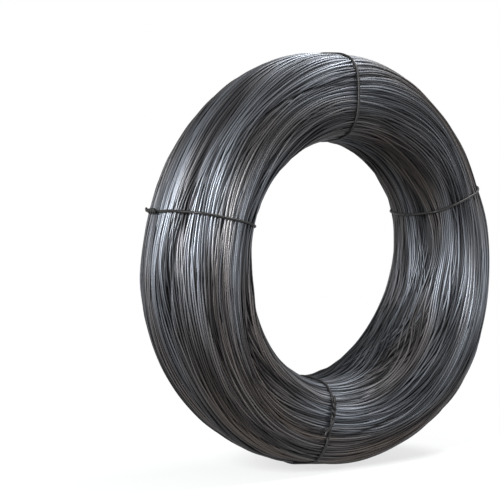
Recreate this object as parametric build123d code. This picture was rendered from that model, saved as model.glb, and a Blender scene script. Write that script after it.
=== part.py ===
from build123d import *
import math
import os

# A coil of round steel rod that stands on its rim. The bore runs along Y and the front is towards -Y.
# z = 0 is the floor. Sizes are in millimetres.
#
# The coil is drawn lying down, with the bore along Z and its front upwards, and stood up at the end.

# The rod and the wound ring
rod_diameter = 5.5
outer_diameter = 1150.0
ring_thickness = 250.0          # from the bore to the outside
ring_width = 288.0              # along the bore
corner_radius = 100.0           # the ring's section is a rectangle with round corners

# The turns that show round the section, in lays of a few turns side by side with a groove between
turns_in_a_lay = 10
lay_groove_depth = 4.0

# The tie wires, which have pulled themselves into the turns
tie_wire_diameter = 7.0
tie_clearance = 0.3             # between a tie wire and the seat that it has pressed
tie_below_surface = 0.5         # how far the top of the wire lies under the ring's surface
tie_seat_width = 16.5           # the waist that the tie has pulled in, wide enough for the knot
tie_sides = 8                   # flats round the wire, which keep its area
tie_bend_steps = 9              # straight steps round each corner of the section
seat_reach = 12.0               # how far what cuts the waist stands out past the ring

# The knot: the wire's two ends are wound round each other, and each ends in a short tail
knot_half_turns = 3             # an odd number, so that each end leaves on top of the other one's wire
knot_length = 56.0
knot_ease = 10.0                # over this length the twist starts, and again over this length it stops
knot_gap = 0.3                  # between the two ends where they lie against each other
tail_drift = 0.45               # how far a tail leans away sideways, as a share of its length
knot_steps = 20                 # straight steps along the knot
tail_steps = 6                  # straight steps along a tail

# Each tie wire: its angle round the ring, the angle of its knot round the section from the outside
# (90 is the front, 180 the bore), and its two tails in diameters of the wire
tie_wires = {
    "tie_wire_left": (165.6, -20.2, 2.1, 1.6),
    "tie_wire_bottom": (258.4, 105.8, 5.9, 1.5),
    "tie_wire_right": (21.9, -6.8, 2.6, 1.6),
    "tie_wire_top": (89.6, -40.0, 3.3, 1.6),
}

# Sizes that follow from the ones above
outer_radius = outer_diameter / 2
middle_radius = outer_radius - ring_thickness / 2
middle_height = ring_width / 2
land_r = ring_thickness / 2 - corner_radius      # half the straight part of the two side faces
land_z = ring_width / 2 - corner_radius          # half the straight part of the bore and the outside
quarter = math.pi / 2 * corner_radius
outline_length = 4 * (land_r + land_z + quarter)
flat_turn = 2 * math.pi / tie_sides
wire_corner = tie_wire_diameter / 2 * math.sqrt(flat_turn / math.sin(flat_turn))
tie_depth = tie_below_surface + wire_corner      # from the ring's surface to the middle of the wire
seat_depth = tie_depth + wire_corner + tie_clearance
twist_radius = wire_corner + knot_gap / 2

# The outline's legs: length, the outward direction at the start and the end in degrees, and the corner
# that the leg is measured from, in halves of the straight parts
legs = [
    (land_z, 0, 0, 1, 0),
    (quarter, 0, 90, 1, 1),
    (2 * land_r, 90, 90, 1, 1),
    (quarter, 90, 180, -1, 1),
    (2 * land_z, 180, 180, -1, 1),
    (quarter, 180, 270, -1, -1),
    (2 * land_r, 270, 270, -1, -1),
    (quarter, 270, 360, 1, -1),
    (land_z, 360, 360, 1, -1),
]


def outline_point(s, out):
    """(radius, height) of the point s along the section's outline and out beyond it."""
    s = s % outline_length
    for length, start, stop, corner_r, corner_z in legs:
        if s <= length:
            break
        s -= length
    turn = math.radians(start + (stop - start) * s / length)
    along = s if start == stop else 0.0
    r = middle_radius + corner_r * land_r + (corner_radius + out) * math.cos(turn) - along * math.sin(turn)
    z = middle_height + corner_z * land_z + (corner_radius + out) * math.sin(turn) + along * math.cos(turn)
    return r, z


def outline_at(turn):
    """How far along the outline a ray from the middle of the section meets it, for a turn in degrees."""
    low, high = -outline_length / 2, outline_length / 2
    for _ in range(40):
        s = (low + high) / 2
        r, z = outline_point(s, 0)
        if math.degrees(math.atan2(z - middle_height, r - middle_radius)) < turn:
            low = s
        else:
            high = s
    return s


def placed(s, out, side, angle):
    """The point s along the outline, out beyond it and side to the left, at an angle round the ring."""
    r, z = outline_point(s, out)
    c, t = math.cos(math.radians(angle)), math.sin(math.radians(angle))
    return Vector(r * c - side * t, r * t + side * c, z)


def eased(u, ease):
    """0 to 1 for u from 0 to 1, with no slope at either end and an even slope between the two."""
    top = 1 / (1 - ease)
    if u < ease:
        return top * u * u / (2 * ease)
    if u > 1 - ease:
        return 1 - top * (1 - u) ** 2 / (2 * ease)
    return top * (u - ease / 2)


def lays(s_from, s_to):
    """Points of the outline from s_from to s_to: grooves between lays, each lay rising to the surface."""
    count = round((s_to - s_from) / (turns_in_a_lay * rod_diameter))
    pitch = (s_to - s_from) / count
    points = [outline_point(s_from, 0)]
    for i in range(count):
        points.append(outline_point(s_from + (i + 0.5) * pitch, 0))
        if i < count - 1:
            points.append(outline_point(s_from + (i + 1) * pitch, -lay_groove_depth))
    points.append(outline_point(s_to, 0))
    return points


def seat(angle):
    """What a tie takes from the ring: a band round the section, as deep as the wire and its clearance."""
    across = Plane(
        origin=placed(0, 0, -tie_seat_width / 2, angle),
        x_dir=placed(0, 1, 0, angle) - placed(0, 0, 0, angle),
        z_dir=placed(0, 0, 1, angle) - placed(0, 0, 0, angle),
    )
    middle = Pos(-ring_thickness / 2, 0, 0)
    inside = RectangleRounded(
        ring_thickness - 2 * seat_depth, ring_width - 2 * seat_depth, corner_radius - seat_depth
    )
    band = Rectangle(ring_thickness + 2 * seat_reach, ring_width + 2 * seat_reach) - inside
    return extrude(across * middle * band, tie_seat_width)


def make_coil():
    """The wound rod as one turned ring: lays, a plain bore, a plain face to rest on and the ties' seats."""
    bore_from = land_z + 2 * quarter + 2 * land_r
    bore_to = bore_from + 2 * land_z
    rest_from = bore_to + quarter
    rest_to = rest_from + 2 * land_r
    points = lays(rest_to, bore_from + outline_length) + lays(bore_to, rest_from)
    outline = Polyline(*[(r, 0, z) for r, z in points], close=True)
    ring = revolve(make_face(outline), Axis.Z)
    for angle, *_ in tie_wires.values():
        ring -= seat(angle)
    return ring


def wire_along(stations):
    """A solid wire along straight steps, mitred at every station."""
    steps = [(b - a).normalized() for a, b in zip(stations, stations[1:])]
    start = Plane(origin=stations[0], z_dir=steps[0])
    turns = [flat_turn * k for k in range(tie_sides)]
    ring = [
        stations[0] + (start.x_dir * math.cos(t) + start.y_dir * math.sin(t)) * wire_corner for t in turns
    ]
    rings = [ring]
    for i, step in enumerate(steps):
        after = steps[i + 1] if i + 1 < len(steps) else step
        mitre = step + after
        ring = [p + step * ((stations[i + 1] - p).dot(mitre) / step.dot(mitre)) for p in ring]
        rings.append(ring)
    faces = [Face(Wire.make_polygon(rings[0])), Face(Wire.make_polygon(rings[-1]))]
    for a, b in zip(rings, rings[1:]):
        for k in range(tie_sides):
            n = (k + 1) % tie_sides
            faces.append(Face(Wire.make_polygon([a[k], a[n], b[n], b[k]])))
    return Solid(Shell(faces))


def bends(s_from, s_to):
    """Stations of a tie wire round the section's corners, where its straight steps touch the bend outside."""
    found, total = [], 0.0
    for length, start, stop, _, _ in legs + legs:
        a, b = max(total, s_from), min(total + length, s_to)
        total += length
        if start == stop or b - a < knot_gap:
            continue
        count = math.ceil((b - a) / (quarter / tie_bend_steps) - 0.01)
        half_turn = (b - a) / count / corner_radius / 2
        out = (corner_radius - tie_depth) / math.cos(half_turn) - corner_radius
        found += [(a + (b - a) * (i + 0.5) / count, out) for i in range(count)]
    return found


def make_tie(angle, knot_turn, before, after):
    """A tie wire: once round the section, its ends wound round each other and ending in two tails."""
    knot_at = outline_at(knot_turn)
    s0, s1 = knot_at - knot_length / 2, knot_at + knot_length / 2
    tail_before, tail_after = before * tie_wire_diameter, after * tie_wire_diameter

    def strand(s, half_turn):
        u = min(max((s - s0) / knot_length, 0.0), 1.0)
        turn = math.pi * (knot_half_turns * eased(u, knot_ease / knot_length) + half_turn - 0.5)
        out = twist_radius * (1 + math.sin(turn)) - tie_depth
        side = twist_radius * math.cos(turn)
        if s < s0 or s > s1:
            tail, past = (tail_before, s - s0) if s < s0 else (tail_after, s - s1)
            side += math.copysign(tail_drift * tail, past) * eased(abs(past) / tail, 0.45)
            over_surface = wire_corner + knot_gap - out
            out += over_surface * eased(min(1.0, 3 * abs(past) / tail), 0.45)
        return placed(s, out, side, angle)

    def steps(s_from, s_to, count):
        return [s_from + (s_to - s_from) * i / count for i in range(count)]

    first = s1 % outline_length
    last = first + outline_length - knot_length
    stations = [strand(s, 1) for s in steps(s0 - tail_before, s0, tail_steps) + steps(s0, s1, knot_steps)]
    stations += [placed(s1, -tie_depth, 0, angle)]
    stations += [placed(s, out, 0, angle) for s, out in bends(first, last)]
    stations += [strand(s, 0) for s in steps(s0, s1, knot_steps) + steps(s1, s1 + tail_after, tail_steps)]
    stations += [strand(s1 + tail_after, 0)]
    return wire_along(stations)


# Stood up on its rim, with the front towards -Y
stood_up = Pos(0, middle_height, outer_radius) * Rot(90, 0, 0)

os.makedirs("parts", exist_ok=True)
export_step(stood_up * make_coil(), "parts/coil_turns.step")
for name, tie in tie_wires.items():
    export_step(stood_up * make_tie(*tie), f"parts/{name}.step")
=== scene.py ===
import json
import math

import bpy
import numpy as np
from bpy.props import FloatProperty, FloatVectorProperty, IntProperty, PointerProperty
from mathutils import Matrix, Vector


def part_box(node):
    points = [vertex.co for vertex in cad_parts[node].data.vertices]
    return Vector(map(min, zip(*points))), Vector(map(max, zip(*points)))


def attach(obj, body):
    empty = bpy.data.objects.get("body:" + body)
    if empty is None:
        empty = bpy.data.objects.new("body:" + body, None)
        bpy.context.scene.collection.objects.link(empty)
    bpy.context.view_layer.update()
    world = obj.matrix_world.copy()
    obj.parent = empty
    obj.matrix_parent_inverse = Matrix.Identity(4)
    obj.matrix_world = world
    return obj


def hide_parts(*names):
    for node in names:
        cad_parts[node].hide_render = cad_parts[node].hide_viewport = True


bl_info = {
    "name": "Wire rod coil",
    "version": (1, 0, 0),
    "blender": (4, 5, 0),
    "location": "View3D > Sidebar > Rod coil",
    "description": "A standing coil of steel wire rod with its turns, its tie wires and a plain stage",
    "category": "Add Mesh",
}

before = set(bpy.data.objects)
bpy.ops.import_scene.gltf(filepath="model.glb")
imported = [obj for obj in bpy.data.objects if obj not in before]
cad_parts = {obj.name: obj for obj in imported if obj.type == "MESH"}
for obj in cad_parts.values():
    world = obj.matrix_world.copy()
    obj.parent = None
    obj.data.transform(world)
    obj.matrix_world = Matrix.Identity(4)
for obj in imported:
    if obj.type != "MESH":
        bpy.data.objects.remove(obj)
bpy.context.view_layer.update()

# The coil's middle, and the shape of its section round the ring, in metres. The angle th runs from the
# ring's left side, seen from the front, down and round, and starts at TH_AT_X from the X axis. A
# squareness of 2 would make the section an ellipse.
LOW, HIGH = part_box("coil_turns")
MIDDLE = Vector([(a + b) / 2 for a, b in zip(LOW, HIGH)])
TH_AT_X = math.radians(177.07)
CENTRE_RADIUS, HALF_THICK, HALF_WIDTH = 0.4476, 0.1264, 0.1389
SQUARENESS = 2.76
OUTLINE = 0.877

# How the ring's middle radius, thickness and width vary round it, as shares: for each number of waves in
# one time round, the sizes of its cosine and its sine
CENTRE_WAVES = {2: (-0.0094, 0.0135), 3: (-0.0032, 0.0030)}
THICK_WAVES = {1: (-0.0236, 0.0568), 2: (0.0215, -0.0589), 3: (0.0143, 0.0512), 4: (0.0036, 0.0065)}
WIDTH_WAVES = {1: (0.0211, 0.0347), 2: (-0.0125, -0.0277), 3: (-0.0186, 0.0235)}

# Where each tie wire is: its angle round the ring as th in degrees, the middle of its knot round the
# section in degrees from the outside towards the front, its two tails in metres, and how many degrees of
# th it leans by at the bore
TIES = {
    "tie_wire_left": (-11.0, -20.0, 0.015, 0.011, -3.2),
    "tie_wire_bottom": (80.7, 106.0, 0.041, 0.010, 0.0),
    "tie_wire_right": (204.8, -7.0, 0.018, 0.011, 0.0),
    "tie_wire_top": (272.5, -46.0, 0.023, 0.011, 0.0),
}

# How far along the ring, to either side of it, a tie pulls the bundle in
WAIST_REACH = 0.038

# Dark lines where bundles of turns part, grooves darkened further with painted shade: middle as th in
# degrees and as a share of one time round the section, how far the line drifts over that in one radian
# of th, the width of the opening in metres and the reach round the ring in radians
PARTINGS = [
    (338, 0.098, 0.030, 0.030, 0.24),
    (360, 0.080, -0.075, 0.026, 0.32),
    (353, 0.018, -0.10, 0.009, 0.10),
    (198, 0.426, 0.035, 0.044, 0.27),
    (178, 0.521, 0.030, 0.014, 0.26),
    (170, 0.330, 0.06, 0.010, 0.18),
    (189, 0.300, -0.05, 0.010, 0.20),
    (20, 0.180, 0.03, 0.012, 0.35),
    (35, 0.290, -0.04, 0.012, 0.30),
    (62, 0.130, 0.06, 0.012, 0.30),
    (100, 0.230, 0.05, 0.012, 0.25),
    (125, 0.400, -0.05, 0.012, 0.25),
    (235, 0.420, 0.06, 0.012, 0.30),
    (258, 0.060, -0.06, 0.014, 0.30),
    (300, 0.200, -0.05, 0.014, 0.32),
    (315, 0.300, 0.04, 0.010, 0.30),
]

# Turns are combed apart as far as COMB_REACH from such a line, nearly fully from COMB_EASE on. They sink
# along it by a share of the opening's width, and the rod along it is darkened with painted shade.
COMB_REACH, COMB_EASE = 0.040, 0.003
GROOVE_DEPTH, GROOVE_REACH, GROOVE_DEEPEST = 0.45, 0.3, 0.011
GROOVE_PAINTED_SHADE, GROOVE_SHADE_REACH, GROOVE_SHADE_MARGIN = 0.95, 0.16, 0.0015

# Where the rod is brown or bluish: middle as th in degrees and as a share of one time round the section,
# reach round the ring in radians and round the section as a share, and strength, above 0 for brown
BLOOMS = [
    (352, 0.110, 0.28, 0.030, 0.6),
    (55, 0.130, 0.60, 0.14, 1.3),
    (100, 0.140, 0.30, 0.08, 0.6),
    (235, 0.300, 0.60, 0.25, 0.5),
    (345, 0.000, 0.40, 0.050, -0.8),
    (343, 0.180, 0.35, 0.040, -0.8),
    (280, 0.120, 0.35, 0.100, -1.0),
    (175, 0.300, 0.40, 0.150, -0.5),
    (88, 0.330, 0.30, 0.080, -0.6),
]

# Painted highlights where the lamps catch the rod, in the same way: its steel colour is raised there;
# below 0 it is lowered, a painted shade
PAINTED_HIGHLIGHTS_AND_SHADE = [
    (350, 0.14, 0.34, 0.19, 0.9),
    (172, 0.27, 0.30, 0.20, 0.9),
    (279, 0.09, 0.28, 0.12, 0.9),
    (88, 0.32, 0.30, 0.09, 0.7),
    (348, 0.20, 0.28, 0.06, 0.5),
    (238, 0.40, 0.50, 0.16, -0.25),
]

# How many rod diameters of the bundle's outside are turns that are drawn; a near-black core, painted
# shade in place of the turns under them, fills what is left
DRAWN_DEPTH = 2.9

# How the turns settle: how many neighbours each keeps clear of, and in how many rounds these are looked up
# again; the first round's step towards the core, and how much of an overlap and of a bend one step mends;
# the last rounds, in which nothing is bent back, and the times that all is smoothed at the end
NEIGHBOURS, LOOK_UP_EVERY = 9, 8
SINK, MEND_OVERLAP, MEND_BEND = 0.00022, 0.22, 0.25
UNBENT_ROUNDS, SMOOTHINGS = 6, 3


def waves(table, th):
    return sum(c * np.cos(k * th) + s * np.sin(k * th) for k, (c, s) in table.items())


def turned(th, degrees):
    """How far th is from an angle in degrees, the short way round."""
    return (th - math.radians(degrees) + np.pi) % (2 * np.pi) - np.pi


def ring_shape(th, waist):
    """Centre radius, half thickness and half width of the bundle at th."""
    near = sum(np.exp(-((turned(th, tie[0]) * CENTRE_RADIUS / WAIST_REACH) ** 2)) for tie in TIES.values())
    centre = CENTRE_RADIUS * (1 + waves(CENTRE_WAVES, th))
    thick = HALF_THICK * (1 + waves(THICK_WAVES, th)) - waist * near
    width = HALF_WIDTH * (1 + waves(WIDTH_WAVES, th)) - waist * near
    return centre, thick, width


def round_section(u):
    """Points on the unit section, evenly spaced in u along its outline, from the outside to the front."""
    turn = np.linspace(0, 2 * np.pi, 2001)
    c, s = np.cos(turn), np.sin(turn)
    reach = (np.abs(c) ** SQUARENESS + np.abs(s) ** SQUARENESS) ** (-1 / SQUARENESS)
    x, y = c * reach, s * reach
    run = np.concatenate([[0], np.cumsum(np.hypot(np.diff(x) * HALF_THICK, np.diff(y) * HALF_WIDTH))])
    u = (u % 1.0) * run[-1]
    return np.interp(u, run, x), np.interp(u, run, y)


def placed(th, x, h):
    """World points at an angle round the ring, the distance x from the bore's axis and h to the front."""
    turn = th + TH_AT_X
    return np.stack([x * np.cos(turn), -h, MIDDLE.z + x * np.sin(turn)], axis=-1)


def fitted(points, radius):
    """Move the outermost turns in where the bundle would reach past the coil's own size."""
    unmoved = 0.86
    for axis in range(3):
        low, high = LOW[axis] + radius, HIGH[axis] - radius
        middle, half = (low + high) / 2, (high - low) / 2
        away = points[..., axis] - middle
        for side in (-1, 1):
            most = (away * side).max()
            if most > half:
                kept = unmoved * half
                past = np.maximum(away * side - kept, 0)
                away = away - side * past * (1 - (half - kept) / (most - kept))
        points[..., axis] = middle + away
    return points


class TurnLayer:
    """One layer of turns. Its drifts are slow waves: size, round the ring, round the section, phase.
    Its spaces divide it into bundles: place and width, both as shares of the outline. Its shade is a
    factor on its rod's steel colour: painted shade, darkest on the deepest layer, which also keeps more
    black scale."""

    # How soon a space has opened, in turns; and small waves, which move turns round the section and deeper
    space_ease = 1.6
    small_waves, small_drift, small_depth = 10, 0.0015, 0.0008

    def __init__(self, count, depth, shade, drifts, spaces=(), parted=True):
        self.count, self.depth, self.shade = count, depth, shade
        self.drifts, self.spaces, self.parted = drifts, spaces, parted

    def base(self, th):
        """Even places of every turn at every station, each turn becoming the next after one time round."""
        return (np.arange(self.count)[None, :] + th[:, None] / (2 * np.pi)) / self.count

    def start(self, th, rng):
        """Place along the outline and depth of every turn at every station."""
        base = self.base(th)
        u = base * (1 - sum(width for _, width in self.spaces))
        for at, width in self.spaces:
            lap = np.round(base - at)
            u = u + width * (lap + 0.5 + 0.5 * np.tanh((base - at - lap) * self.count / self.space_ease))
        for size, along, around, phase in self.drifts:
            u = u + size / OUTLINE * np.cos(along * th[:, None] + 2 * np.pi * around * base + phase)
        depth = np.full_like(u, self.depth)
        for _ in range(self.small_waves):
            around, along = rng.integers(self.count // 9, self.count // 2), rng.integers(-5, 6)
            wave = 2 * np.pi * around * base + along * th[:, None] + rng.uniform(0, 2 * np.pi)
            u = u + self.small_drift / OUTLINE * np.cos(wave)
            depth = depth + self.small_depth * np.sin(wave)
        if self.parted:
            u = parted(u, th[:, None])
        return u, depth


def parted(u, th):
    """Comb the turns apart along the dark lines between bundles."""
    for at, at_u, drift, width, reach in PARTINGS:
        away = turned(th, at)
        side = ((u - at_u - drift * away + 0.5) % 1.0 - 0.5) * OUTLINE
        opening = 0.5 * width * np.exp(-((away / reach) ** 2) - (side / COMB_REACH) ** 2)
        u = u + opening / OUTLINE * np.tanh(side / COMB_EASE)
    return u


def share_round(place):
    """How far round the section every place is, as a share of one time round."""
    return np.arctan2(place[..., 1], place[..., 0]) / (2 * np.pi)


def grooves(place, th):
    """How deep every turn has sunk where bundles part, and how much of its steel colour painted shade
    leaves it there.
    """
    share = share_round(place)
    deep, shine_with_painted_light = np.zeros_like(share), np.ones_like(share)
    for at, at_share, drift, width, reach in PARTINGS:
        away = turned(th, at)
        side = ((share - at_share - drift * away + 0.5) % 1.0 - 0.5) * OUTLINE
        deep += GROOVE_DEPTH * width * np.exp(-((away / reach) ** 2) - (side / (GROOVE_REACH * width)) ** 2)
        shade_side = side / (GROOVE_SHADE_REACH * width + GROOVE_SHADE_MARGIN)
        shine_with_painted_light *= 1 - GROOVE_PAINTED_SHADE * np.exp(-((away / reach) ** 4) - shade_side**2)
    return np.minimum(deep, GROOVE_DEEPEST), shine_with_painted_light


def turn_layers(d):
    """The turns that show: a closed layer, bundles on it, and the last bundles laid over those."""
    under = TurnLayer(
        count=150,
        depth=2.4 * d,
        shade=0.3,
        drifts=[(0.012, 1, 1, 3.6), (0.008, 2, 2, 4.0), (0.004, 3, 5, 1.0)],
        parted=False,
    )
    middle = TurnLayer(
        count=134,
        depth=1.5 * d,
        shade=0.8,
        drifts=[(0.020, 1, 0, 0.4), (0.014, 2, 1, 1.0), (0.009, 4, 3, 2.2), (0.005, 6, 6, 0.7)],
        spaces=[
            (0.07, 0.030),
            (0.19, 0.022),
            (0.33, 0.034),
            (0.45, 0.022),
            (0.60, 0.030),
            (0.74, 0.026),
            (0.90, 0.034),
        ],
    )
    over = TurnLayer(
        count=104,
        depth=0.5 * d,
        shade=1.0,
        drifts=[(0.026, 1, 1, 5.0), (0.018, 2, 0, 0.5), (0.010, 4, 2, 3.1), (0.006, 6, 5, 2.0)],
        spaces=[
            (0.05, 0.05),
            (0.16, 0.04),
            (0.30, 0.06),
            (0.43, 0.04),
            (0.52, 0.05),
            (0.67, 0.06),
            (0.81, 0.05),
            (0.92, 0.05),
        ],
    )
    return [over, middle, under]


def next_turn(counts):
    """The turn that each turn becomes after one time round."""
    out, base = [], 0
    for n in counts:
        out += [base + (i + 1) % n for i in range(n)]
        base += n
    return np.array(out)


def laid_turns(settings):
    """Places of every turn at every station, settled so that they press on the core and on each other.

    Returns th of the stations and the ring's middle radius there; for every turn its place from the
    middle of the section, its even place, and what painted shade in the grooves and on the deeper layers
    leaves of its steel colour; and the turn it runs on into."""
    rng = np.random.default_rng(settings.seed)
    d = settings.rod_diameter
    th = np.linspace(0, 2 * np.pi, 180, endpoint=False)
    centre, thick, width = ring_shape(th, settings.waist)
    half = np.stack([thick, width], axis=-1)[:, None, :].astype(np.float32)
    layers = turn_layers(d)
    parts = []
    for layer in layers:
        u, depth = layer.start(th, rng)
        unit = np.stack(round_section(u), axis=-1)
        parts.append((unit * (half - depth[..., None])).astype(np.float32))
    place = np.concatenate(parts, axis=1)
    onward = next_turn([layer.count for layer in layers])
    back = np.argsort(onward)

    def between(place):
        """For every station of every turn, the middle of the stations before and after it."""
        ahead = np.concatenate([place[1:], place[:1][:, onward]])
        behind = np.concatenate([place[-1:][:, back], place[:-1]])
        return 0.5 * (ahead + behind)

    core = half - np.float32(DRAWN_DEPTH * d)
    rounds = 140
    for step in range(rounds):
        if step % LOOK_UP_EVERY == 0:
            near = nearest(place, NEIGHBOURS)
        # towards the core
        down = np.sign(place) * np.abs(place / half) ** (SQUARENESS - 1) / half
        down /= np.linalg.norm(down, axis=-1, keepdims=True)
        place = place - down * np.float32(SINK * (1 - step / rounds))
        # apart from each other
        for _ in range(2):
            away = place[:, :, None, :] - np.take_along_axis(place[:, :, None, :], near[..., None], axis=1)
            gap = np.linalg.norm(away, axis=-1, keepdims=True) + 1e-7
            place = place + (away / gap * np.maximum(0, d - gap)).sum(axis=2) * np.float32(MEND_OVERLAP)
        # out of the core
        inside = (np.abs(place / (core + d / 2)) ** SQUARENESS).sum(axis=-1, keepdims=True)
        inside = inside ** (1 / SQUARENESS)
        place = place * np.maximum(1, 1 / np.maximum(inside, 1e-3))
        # each rod bends gently
        if step < rounds - UNBENT_ROUNDS:
            place = place + (between(place) - place) * np.float32(MEND_BEND)
    for _ in range(SMOOTHINGS):
        place = 0.5 * (place + between(place))
    deep, shine_with_painted_light = grooves(place, th[:, None])
    place = place * (1 - deep / np.linalg.norm(place, axis=-1))[..., None]
    bases = np.concatenate([layer.base(th) for layer in layers], axis=1)
    # Painted shade on the deeper layers, by each layer's shade
    shine_with_painted_light = shine_with_painted_light * np.concatenate([np.full(layer.count, layer.shade) for layer in layers])
    return th, centre, place, bases, shine_with_painted_light, onward


def nearest(place, count):
    """Indices of the nearest turns of every turn, station by station."""
    out = np.empty(place.shape[:2] + (count,), np.int64)
    for m in range(place.shape[0]):
        p = place[m]
        away = ((p[:, None, :] - p[None, :, :]) ** 2).sum(-1)
        np.fill_diagonal(away, 1e9)
        out[m] = np.argpartition(away, count, axis=1)[:, :count]
    return out


def streaks(rng, base, th, waves_round, waves_along, terms=14):
    """Smooth noise between 0 and 1 that runs on from each turn into the next. The two pairs are the least
    and one past the most waves once round the section and once round the ring."""
    total = np.zeros_like(base)
    for _ in range(terms):
        around, along = rng.integers(*waves_round), rng.integers(*waves_along)
        total += np.cos(2 * np.pi * around * base + along * th[:, None] + rng.uniform(0, 2 * np.pi))
    return 0.5 + 0.5 * np.tanh(total / math.sqrt(terms / 2))


def tube_arrays(paths, radius, sides):
    """Points and quads of round tubes. paths is (tube, station, 3)."""
    ahead = np.concatenate([paths[:, 1:], paths[:, -1:]], axis=1)
    behind = np.concatenate([paths[:, :1], paths[:, :-1]], axis=1)
    along = ahead - behind
    along /= np.linalg.norm(along, axis=-1, keepdims=True)
    across = np.zeros_like(along)
    across[..., 1] = 1
    across -= (across * along).sum(-1, keepdims=True) * along
    across /= np.linalg.norm(across, axis=-1, keepdims=True)
    over = np.cross(along, across)
    turn = 2 * np.pi * (np.arange(sides) + 0.5) / sides
    ring = np.cos(turn)[:, None] * across[:, :, None] + np.sin(turn)[:, None] * over[:, :, None]
    points = paths[:, :, None] + ring * radius
    tubes, stations = paths.shape[:2]
    t, m, k = np.meshgrid(np.arange(tubes), np.arange(stations - 1), np.arange(sides), indexing="ij")
    a = (t * stations + m) * sides + k
    b = (t * stations + m) * sides + (k + 1) % sides
    quads = np.stack([a, a + sides, b + sides, b], axis=-1).reshape(-1, 4)
    return points.reshape(-1, 3), quads


def mesh_object(name, points, quads, shades=None):
    """A smooth mesh object, with a number at every point for each name in shades."""
    mesh = bpy.data.meshes.new(name)
    mesh.vertices.add(len(points))
    mesh.vertices.foreach_set("co", np.ascontiguousarray(points, np.float32).ravel())
    mesh.loops.add(len(quads) * 4)
    mesh.loops.foreach_set("vertex_index", np.ascontiguousarray(quads, np.int32).ravel())
    mesh.polygons.add(len(quads))
    mesh.polygons.foreach_set("loop_start", np.arange(0, len(quads) * 4, 4, dtype=np.int32))
    mesh.polygons.foreach_set("use_smooth", np.ones(len(quads), bool))
    for key, values in (shades or {}).items():
        layer = mesh.attributes.new(key, "FLOAT", "POINT")
        layer.data.foreach_set("value", np.ascontiguousarray(values, np.float32).ravel())
    mesh.update(calc_edges=True)
    mesh.validate()
    obj = bpy.data.objects.new(name, mesh)
    bpy.context.scene.collection.objects.link(obj)
    return obj


class Sock:
    """A shader socket that can be used in plain sums."""

    def __init__(self, tree, socket):
        self.tree, self.socket = tree, socket

    def _math(self, operation, a, b):
        made = self.tree.nodes.new("ShaderNodeMath")
        made.operation = operation
        for slot, value in zip(made.inputs, (a, b)):
            if isinstance(value, Sock):
                self.tree.links.new(value.socket, slot)
            else:
                slot.default_value = value
        return Sock(self.tree, made.outputs[0])

    def __add__(self, other):
        return self._math("ADD", self, other)

    def __radd__(self, other):
        return self._math("ADD", other, self)

    def __sub__(self, other):
        return self._math("SUBTRACT", self, other)

    def __rsub__(self, other):
        return self._math("SUBTRACT", other, self)

    def __mul__(self, other):
        return self._math("MULTIPLY", self, other)

    def clamped(self):
        return self._math("MINIMUM", self._math("MAXIMUM", self, 0.0), 1.0)

    def larger(self, other):
        return self._math("MAXIMUM", self, other)

    def mix(self, a, b):
        """Colour a where this is 0, b where it is 1."""
        return node(self.tree, "ShaderNodeMix", {"data_type": "RGBA"}, {0: self, 6: a, 7: b}).out(2)


class Made:
    """A node that has just been made, to read its sockets."""

    def __init__(self, tree, made):
        self.tree, self.made = tree, made

    def out(self, key=0):
        return Sock(self.tree, self.made.outputs[key])


def node(tree, kind, settings=None, inputs=None):
    made = tree.nodes.new(kind)
    for key, value in (settings or {}).items():
        setattr(made, key, value)
    for key, value in (inputs or {}).items():
        if isinstance(value, Sock):
            tree.links.new(value.socket, made.inputs[key])
        else:
            made.inputs[key].default_value = value
    return Made(tree, made)


def new_material(name):
    material = bpy.data.materials.new(name)
    material.use_nodes = True
    material.node_tree.nodes.clear()
    return material, material.node_tree


def noise(tree, scale, detail=2.0, place=None):
    place = place or node(tree, "ShaderNodeTexCoord").out("Object")
    inputs = {"Vector": place, "Scale": scale, "Detail": detail}
    return node(tree, "ShaderNodeTexNoise", inputs=inputs).out("Fac")


def point_value(tree, name):
    return node(tree, "ShaderNodeAttribute", {"attribute_name": name}).out("Fac")


def rod_place(tree):
    """A place on the rod for noise that is drawn out along it, with its scale along it and from turn to
    turn."""
    inputs = {"X": point_value(tree, "along") * 9.0, "Y": point_value(tree, "turn") * 1.7}
    return node(tree, "ShaderNodeCombineXYZ", inputs=inputs).out()


def rgba(colour):
    return (*colour[:3], 1.0)


def rod_material(settings):
    """Dark annealed rod with streaks of brighter, barer steel, painted highlights and painted shade, and a
    bluish or brown bloom.
    """
    material, tree = new_material("rod_steel_dark")
    bare_and_painted_light = point_value(tree, "bare_and_painted_light")
    bloom = point_value(tree, "bloom")
    fine = noise(tree, 1.0, 3.0, rod_place(tree))
    broad = noise(tree, 3.0)
    brown = ((bloom - 0.5) * 0.8 + (broad - 0.5) + 0.22).clamped()
    steel = brown.mix(rgba(settings.steel_colour), rgba(settings.brown_colour))
    # How much steel colour shows: the rod's own streaks, with painted highlights and painted shade in them
    shine_with_painted_light = (bare_and_painted_light + (fine - 0.5) * 0.16 + 0.02).clamped()
    colour = shine_with_painted_light.mix(rgba(settings.scale_colour), steel)
    rough = settings.rod_roughness + (fine - 0.5) * 0.16 + (1 - bare_and_painted_light) * 0.12
    surface = node(
        tree,
        "ShaderNodeBsdfPrincipled",
        inputs={"Base Color": colour, "Metallic": 1.0, "Roughness": rough},
    ).out()
    node(tree, "ShaderNodeOutputMaterial", inputs={"Surface": surface})
    return material


def tie_material(settings):
    """Black annealed wire, rubbed grey in places."""
    material, tree = new_material("tie_wire_black")
    rubbed = ((noise(tree, 90.0, 3.0) - 0.4) * 2.0).clamped()
    colour = rubbed.mix((0.012, 0.011, 0.011, 1), rgba(settings.tie_colour))
    surface = node(
        tree, "ShaderNodeBsdfPrincipled", inputs={"Base Color": colour, "Metallic": 0.6, "Roughness": 0.5}
    ).out()
    node(tree, "ShaderNodeOutputMaterial", inputs={"Surface": surface})
    return material


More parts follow.
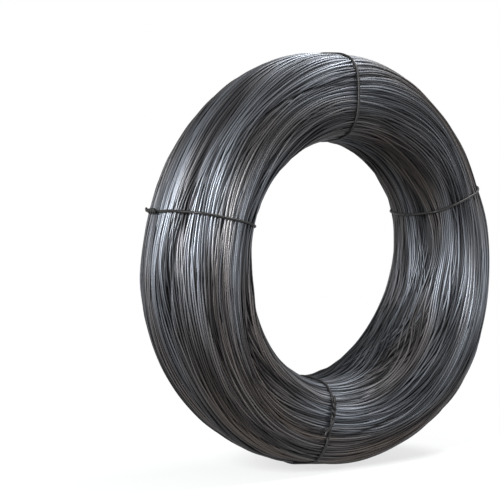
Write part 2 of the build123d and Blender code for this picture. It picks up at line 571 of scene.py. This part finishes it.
def painted_shade_inside_material():
    """The shade between the turns that show and the ones under them."""
    material, tree = new_material("inside_painted_shade")
    colour = noise(tree, 40.0).mix((0.004, 0.004, 0.005, 1), (0.010, 0.010, 0.011, 1))
    surface = node(tree, "ShaderNodeBsdfPrincipled", inputs={"Base Color": colour, "Roughness": 0.9}).out()
    node(tree, "ShaderNodeOutputMaterial", inputs={"Surface": surface})
    return material


class RodCoilSettings(bpy.types.PropertyGroup):
    """Sizes and colours that a user would change."""

    rod_diameter: FloatProperty(
        name="Rod diameter",
        description="Thickness of the rod",
        default=0.0055,
        min=0.003,
        subtype="DISTANCE",
    )
    tie_diameter: FloatProperty(
        name="Tie wire diameter",
        description="Thickness of the tie wires",
        default=0.007,
        min=0.003,
        subtype="DISTANCE",
    )
    waist: FloatProperty(
        name="Waist at the ties",
        description="How far each tie wire pulls the bundle in",
        default=0.0075,
        min=0.0,
        subtype="DISTANCE",
    )
    seed: IntProperty(name="Seed", description="Changes how the turns lie", default=7, min=0)
    rod_roughness: FloatProperty(
        name="Rod roughness",
        description="Dullness of the rod where it is bare",
        default=0.50,
        min=0.05,
        max=1.0,
        subtype="FACTOR",
    )
    steel_colour: FloatVectorProperty(
        name="Steel",
        description="Bare bluish steel",
        default=(0.208, 0.222, 0.246),
        subtype="COLOR",
        min=0,
        max=1,
    )
    brown_colour: FloatVectorProperty(
        name="Brown",
        description="Stretches with a brown bloom",
        default=(0.190, 0.160, 0.141),
        subtype="COLOR",
        min=0,
        max=1,
    )
    scale_colour: FloatVectorProperty(
        name="Scale",
        description="Black mill scale",
        default=(0.012, 0.012, 0.013),
        subtype="COLOR",
        min=0,
        max=1,
    )
    tie_colour: FloatVectorProperty(
        name="Tie wire",
        description="Black tie wire where it is rubbed",
        default=(0.024, 0.023, 0.023),
        subtype="COLOR",
        min=0,
        max=1,
    )


class RODCOIL_OT_turns(bpy.types.Operator):
    """Lay the turns of rod round the ring"""

    bl_idname = "rodcoil.turns"
    bl_label = "Turns of rod"

    sides, turns_in_a_piece = 6, 72

    def execute(self, context):
        settings = context.scene.rod_coil
        th, centre, place, bases, shine_with_painted_light, onward = laid_turns(settings)
        rng = np.random.default_rng(settings.seed + 1)
        bare_and_painted_light = 0.15 + 0.7 * streaks(rng, bases, th, (6, 34), (-9, 10), 18)
        # Painted highlights and painted shade at set places, on top of the painted shade in the grooves and
        # on the deeper layers
        bare_and_painted_light = bare_and_painted_light * shine_with_painted_light * (0.5 + self.patches(PAINTED_HIGHLIGHTS_AND_SHADE, th, place))
        bloom = streaks(rng, bases, th, (2, 9), (-3, 4)) + self.patches(BLOOMS, th, place)
        material = rod_material(settings)
        points = placed(th[:, None], centre[:, None] + place[..., 0], place[..., 1])
        points = fitted(points, settings.rod_diameter / 2)
        context.scene["turns_at_ties"] = json.dumps(self.at_ties(th, points))
        tubes, bare_and_painted_light, bloom = (
            np.swapaxes(np.concatenate([rows, rows[:1][:, onward]]), 0, 1)
            for rows in (points, bare_and_painted_light, bloom)
        )
        along = np.broadcast_to(np.linspace(0, 2 * np.pi * CENTRE_RADIUS, len(th) + 1), bare_and_painted_light.shape)
        turn = np.broadcast_to(np.arange(len(bare_and_painted_light))[:, None], bare_and_painted_light.shape)
        rows_by_name = {"bare_and_painted_light": bare_and_painted_light, "bloom": bloom, "along": along, "turn": turn}
        for first in range(0, len(tubes), self.turns_in_a_piece):
            some = slice(first, first + self.turns_in_a_piece)
            verts, quads = tube_arrays(tubes[some], settings.rod_diameter / 2, self.sides)
            shades = {key: np.repeat(rows[some], self.sides) for key, rows in rows_by_name.items()}
            obj = mesh_object(f"rod_turns_{first // self.turns_in_a_piece + 1}", verts, quads, shades)
            obj.data.materials.append(material)
            self.stands_for_coil(obj)
        self.stands_for_coil(self.inside(settings))
        return {"FINISHED"}

    def patches(self, table, th, place):
        """The sum of soft patches at every point."""
        share = share_round(place)
        total = np.zeros_like(share)
        for at, at_share, reach, share_reach, strength in table:
            side = (share - at_share + 0.5) % 1.0 - 0.5
            away = turned(th, at)[:, None]
            total += strength * np.exp(-((away / reach) ** 2) - (side / share_reach) ** 2)
        return total

    def stands_for_coil(self, obj):
        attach(obj, "root")
        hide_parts("coil_turns")

    def inside(self, settings):
        """A near-black core under the turns that show: painted shade in place of the turns under them."""
        rows, columns = 121, 40
        th = np.linspace(0, 2 * np.pi, rows)
        centre, thick, width = ring_shape(th, settings.waist)
        x, y = round_section(np.arange(columns) / columns)
        deep = DRAWN_DEPTH * settings.rod_diameter
        thick, width = (thick - deep)[:, None], (width - deep)[:, None]
        points = placed(th[:, None], centre[:, None] + x * thick, y * width)
        m, k = np.meshgrid(np.arange(rows - 1), np.arange(columns), indexing="ij")
        a, b = m * columns + k, m * columns + (k + 1) % columns
        quads = np.stack([a, b, b + columns, a + columns], axis=-1).reshape(-1, 4)
        obj = mesh_object("rod_turns_inside", points.reshape(-1, 3), quads)
        obj.data.materials.append(painted_shade_inside_material())
        return obj

    def at_ties(self, th, points):
        """For every tie, the outer edge of the bundle as a pulled wire would follow it."""
        found = {}
        for name, tie in TIES.items():
            rows = np.argsort(np.abs(turned(th, tie[0])))[:2]
            x, y, z = np.moveaxis(points[rows], -1, 0)
            spots = np.stack([np.hypot(x, z - MIDDLE.z), -y], axis=-1)
            found[name] = hull(spots.reshape(-1, 2)).tolist()
        return found


def hull(spots):
    """Corners of the convex hull, counter-clockwise."""
    spots = sorted(map(tuple, spots.tolist()))

    def half(row):
        out = []
        for p in row:
            while len(out) > 1:
                (ax, ay), (bx, by) = out[-2], out[-1]
                if (bx - ax) * (p[1] - ay) > (by - ay) * (p[0] - ax):
                    break
                out.pop()
            out.append(p)
        return out[:-1]

    return np.array(half(spots) + half(spots[::-1]))


def pulled_loop(corners, out, count=240, directions=720):
    """A loop round the hull, out beyond it, as evenly spaced points starting at the outside; its length
    and the hull's middle."""
    middle = corners.mean(axis=0)
    turn = np.linspace(0, 2 * np.pi, directions, endpoint=False)
    ways = np.stack([np.cos(turn), np.sin(turn)], -1)
    support = (corners @ ways.T).max(axis=0) + out
    slope = (np.roll(support, -1) - np.roll(support, 1)) / (turn[2] - turn[0])
    loop = support[:, None] * ways + slope[:, None] * np.stack([-np.sin(turn), np.cos(turn)], -1)
    closed = np.concatenate([loop, loop[:1]])
    run = np.concatenate([[0], np.cumsum(np.linalg.norm(np.diff(closed, axis=0), axis=1))])
    at = np.linspace(0, run[-1], count, endpoint=False)
    even = np.stack([np.interp(at, run, closed[:, 0]), np.interp(at, run, closed[:, 1])], -1)
    for _ in range(3):
        even = 0.5 * even + 0.25 * (np.roll(even, 1, 0) + np.roll(even, -1, 0))
    return even, run[-1], middle


def eased(u, ease):
    """0 to 1 for u from 0 to 1, with no slope at either end and an even slope between the two."""
    u = np.clip(u, 0, 1)
    top = 1 / (1 - ease)
    low = top * u * u / (2 * ease)
    high = 1 - top * (1 - u) ** 2 / (2 * ease)
    return np.where(u < ease, low, np.where(u > 1 - ease, high, top * (u - ease / 2)))


class RODCOIL_OT_ties(bpy.types.Operator):
    """Put the tie wires round the bundle, each with its twisted knot"""

    bl_idname = "rodcoil.ties"
    bl_label = "Tie wires"

    # The knot's length, its half turns, the gap between its two ends, and the share of it over which the
    # twist starts and again stops; how far a tail leans away sideways, as a share of its length; and how
    # deep the wire bites into the bundle
    knot, half_turns, strand_gap, knot_ease = 0.056, 3, 0.0002, 0.18
    tail_drift, tail_ease = 0.45, 0.45
    bite = 0.0025
    # Stations along the wire and sides round it
    tail_before_steps, knot_steps, around_steps, tail_after_steps = 10, 48, 150, 8
    sides = 12

    def execute(self, context):
        settings = context.scene.rod_coil
        corners = json.loads(context.scene["turns_at_ties"])
        material = tie_material(settings)
        for name, (degrees, knot_turn, before, after, lean) in TIES.items():
            angles = [math.radians(a) for a in (degrees, knot_turn, lean)]
            path = self.wire_path(np.array(corners[name]), *angles, before, after, settings)
            verts, quads = tube_arrays(path[None], settings.tie_diameter / 2, self.sides)
            obj = mesh_object(name + "_round", verts, quads)
            obj.data.materials.append(material)
            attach(obj, "root")
            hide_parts(name)
        return {"FINISHED"}

    def wire_path(self, corners, th, knot_turn, lean, before, after, settings):
        """The wire's centre line: tail, half the knot, round the bundle, the other half and its tail."""
        d = settings.tie_diameter
        loop, length, middle = pulled_loop(corners, (settings.rod_diameter + d) / 2 - self.bite)
        turn = np.arctan2(loop[:, 1] - middle[1], loop[:, 0] - middle[0]) - knot_turn
        knot_at = np.argmin(np.abs((turn + np.pi) % (2 * np.pi) - np.pi)) / len(loop) * length
        s0, s1 = knot_at - self.knot / 2, knot_at + self.knot / 2
        tilt = np.roll(loop, -1, 0) - np.roll(loop, 1, 0)
        outward = np.stack([tilt[:, 1], -tilt[:, 0]], -1)
        outward /= np.linalg.norm(outward, axis=1, keepdims=True)

        def at(s, out, side):
            i = (s / length * len(loop)) % len(loop)
            low = np.floor(i).astype(int) % len(loop)
            high = (low + 1) % len(loop)
            part = (i - np.floor(i))[:, None]
            spot = loop[low] * (1 - part) + loop[high] * part
            spot = spot + (outward[low] * (1 - part) + outward[high] * part) * out[:, None]
            turn = np.arctan2(spot[:, 1] - middle[1], spot[:, 0] - middle[0])
            return placed(th + lean * (1 - np.cos(turn)) / 2 + side / spot[:, 0], spot[:, 0], spot[:, 1])

        def strand(s, half):
            turn = np.pi * (self.half_turns * eased((s - s0) / self.knot, self.knot_ease) + half - 0.5)
            r = d / 2 + self.strand_gap / 2
            past = np.where(s < s0, s - s0, np.where(s > s1, s - s1, 0.0))
            tail = np.where(s < s0, before, after)
            drift = self.tail_drift * np.sign(past) * tail * eased(np.abs(past) / tail, self.tail_ease)
            return at(s, r * (1 + np.sin(turn)), r * np.cos(turn) + drift)

        around = np.linspace(s1, s0 + length, self.around_steps)[1:-1]
        return np.concatenate(
            [
                strand(np.linspace(s0 - before, s0, self.tail_before_steps)[:-1], 1),
                strand(np.linspace(s0, s1, self.knot_steps), 1),
                at(around, np.zeros_like(around), np.zeros_like(around)),
                strand(np.linspace(s0, s1, self.knot_steps), 0),
                strand(np.linspace(s1, s1 + after, self.tail_after_steps)[1:], 0),
            ]
        )


# The camera's directions, its place from the coil's middle, and its focal length and sensor in millimetres
CAMERA_RIGHT = Vector((0.80311, -0.59584, 0.0))
CAMERA_UP = Vector((0.01818, 0.0245, 0.99953))
CAMERA_BACK = Vector((-0.59556, -0.80273, 0.03051))
CAMERA_PLACE = Vector((-2.5677, -3.1035, 0.1485))
CAMERA_LENS, CAMERA_SENSOR = 103.48, 36.0

# Each lamp: place from the coil's middle along the camera's right, up and back, size, power and colour.
# The key is at about twice the plain level, because the rod is dark against a white ground.
LAMPS = {
    "key_light": ((-1.85, 1.35, 3.2), (1.2, 1.4), 330, (0.96, 0.98, 1.0)),
    "top_light": ((1.88, 3.46, -0.68), (1.2, 1.2), 240, (1.0, 1.0, 1.0)),
    "side_light": ((3.94, 0.1, 0.69), (1.2, 1.2), 45, (0.93, 0.96, 1.0)),
}


class RODCOIL_OT_stage(bpy.types.Operator):
    """Set the floor, the lights and the camera"""

    bl_idname = "rodcoil.stage"
    bl_label = "Stage"

    floor_half = 30.0
    # How white the floor is seen at the coil, and how much whiter a metre further out
    floor_white, floor_whiter = 0.7, 0.15
    # What is seen overhead gets darker from this height of the direction on, and how fast
    dark_from, dark_ease = 0.40, 2.5

    def execute(self, context):
        self.floor()
        self.world(context.scene)
        for name, lamp in LAMPS.items():
            self.light(name, *lamp)
        self.camera(context.scene)
        context.scene.view_settings.view_transform = "Standard"
        return {"FINISHED"}

    def seen(self, tree):
        """1 for what the camera sees, also in a reflection or through glass."""
        path = node(tree, "ShaderNodeLightPath")
        kinds = ("Camera", "Glossy", "Transmission")
        camera, glossy, transmission = (path.out(f"Is {kind} Ray") for kind in kinds)
        return camera.larger(glossy).larger(transmission)

    def floor(self):
        mesh = bpy.data.meshes.new("floor")
        half = self.floor_half
        corners = [(-half, -half, 0), (half, -half, 0), (half, half, 0), (-half, half, 0)]
        mesh.from_pydata(corners, [], [(0, 1, 2, 3)])
        obj = bpy.data.objects.new("floor", mesh)
        bpy.context.scene.collection.objects.link(obj)
        material, tree = new_material("floor_pale")
        plain = node(tree, "ShaderNodeBsdfDiffuse", inputs={"Color": (0.6, 0.6, 0.6, 1)}).out()
        white = node(tree, "ShaderNodeEmission", inputs={"Color": (1, 1, 1, 1), "Strength": 1.0}).out()
        place = node(tree, "ShaderNodeTexCoord").out("Object")
        away = node(tree, "ShaderNodeVectorMath", {"operation": "LENGTH"}, {0: place}).out("Value")
        share = (away * self.floor_whiter + self.floor_white).clamped()
        pale = node(tree, "ShaderNodeMixShader", inputs={0: share, 1: plain, 2: white}).out()
        both = node(tree, "ShaderNodeMixShader", inputs={0: self.seen(tree), 1: plain, 2: pale}).out()
        node(tree, "ShaderNodeOutputMaterial", inputs={"Surface": both})
        mesh.materials.append(material)

    def world(self, scene):
        scene.world = bpy.data.worlds.new("studio")
        scene.world.use_nodes = True
        tree = scene.world.node_tree
        tree.nodes.clear()
        pale_blue = {"Color": (0.9, 0.95, 1.0, 1), "Strength": 0.5}
        dim = node(tree, "ShaderNodeBackground", inputs=pale_blue).out()
        way = node(tree, "ShaderNodeTexCoord").out("Generated")
        height = node(tree, "ShaderNodeSeparateXYZ", inputs={0: way}).out("Z")
        overhead = ((height - self.dark_from) * self.dark_ease).clamped()
        shade = overhead.mix((1, 1, 1, 1), (0.2, 0.2, 0.2, 1))
        white = node(tree, "ShaderNodeBackground", inputs={"Color": shade, "Strength": 1.0}).out()
        both = node(tree, "ShaderNodeMixShader", inputs={0: self.seen(tree), 1: dim, 2: white}).out()
        node(tree, "ShaderNodeOutputWorld", inputs={"Surface": both})

    def light(self, name, place, size, power, colour):
        lamp = bpy.data.lights.new(name, "AREA")
        lamp.shape, lamp.size, lamp.size_y = "RECTANGLE", size[0], size[1]
        lamp.energy, lamp.color = power, colour
        obj = bpy.data.objects.new(name, lamp)
        right, up, back = place
        spot = MIDDLE + CAMERA_RIGHT * right + CAMERA_UP * up + CAMERA_BACK * back
        obj.location = spot
        obj.rotation_euler = (MIDDLE - spot).to_track_quat("-Z", "Y").to_euler()
        bpy.context.scene.collection.objects.link(obj)

    def camera(self, scene):
        lens = bpy.data.cameras.new("camera")
        lens.sensor_fit, lens.sensor_width, lens.lens = "HORIZONTAL", CAMERA_SENSOR, CAMERA_LENS
        lens.clip_end = 200
        obj = bpy.data.objects.new("camera", lens)
        turn = Matrix((CAMERA_RIGHT, CAMERA_UP, CAMERA_BACK)).transposed()
        obj.matrix_world = Matrix.Translation(MIDDLE + CAMERA_PLACE) @ turn.to_4x4()
        scene.collection.objects.link(obj)
        scene.camera = obj


class RODCOIL_PT_panel(bpy.types.Panel):
    """The coil's settings and steps"""

    bl_idname = "RODCOIL_PT_panel"
    bl_label = "Wire rod coil"
    bl_space_type = "VIEW_3D"
    bl_region_type = "UI"
    bl_category = "Rod coil"

    def draw(self, context):
        column = self.layout.column()
        for name in RodCoilSettings.__annotations__:
            column.prop(context.scene.rod_coil, name)
        for operator in OPERATORS:
            column.operator(operator.bl_idname)


OPERATORS = (RODCOIL_OT_turns, RODCOIL_OT_ties, RODCOIL_OT_stage)
CLASSES = (RodCoilSettings, *OPERATORS, RODCOIL_PT_panel)


def register():
    for made in CLASSES:
        bpy.utils.register_class(made)
    bpy.types.Scene.rod_coil = PointerProperty(type=RodCoilSettings)


def unregister():
    del bpy.types.Scene.rod_coil
    for made in reversed(CLASSES):
        bpy.utils.unregister_class(made)


def main():
    register()
    bpy.ops.rodcoil.turns()
    bpy.ops.rodcoil.ties()
    bpy.ops.rodcoil.stage()


if __name__ == "__main__":
    main()
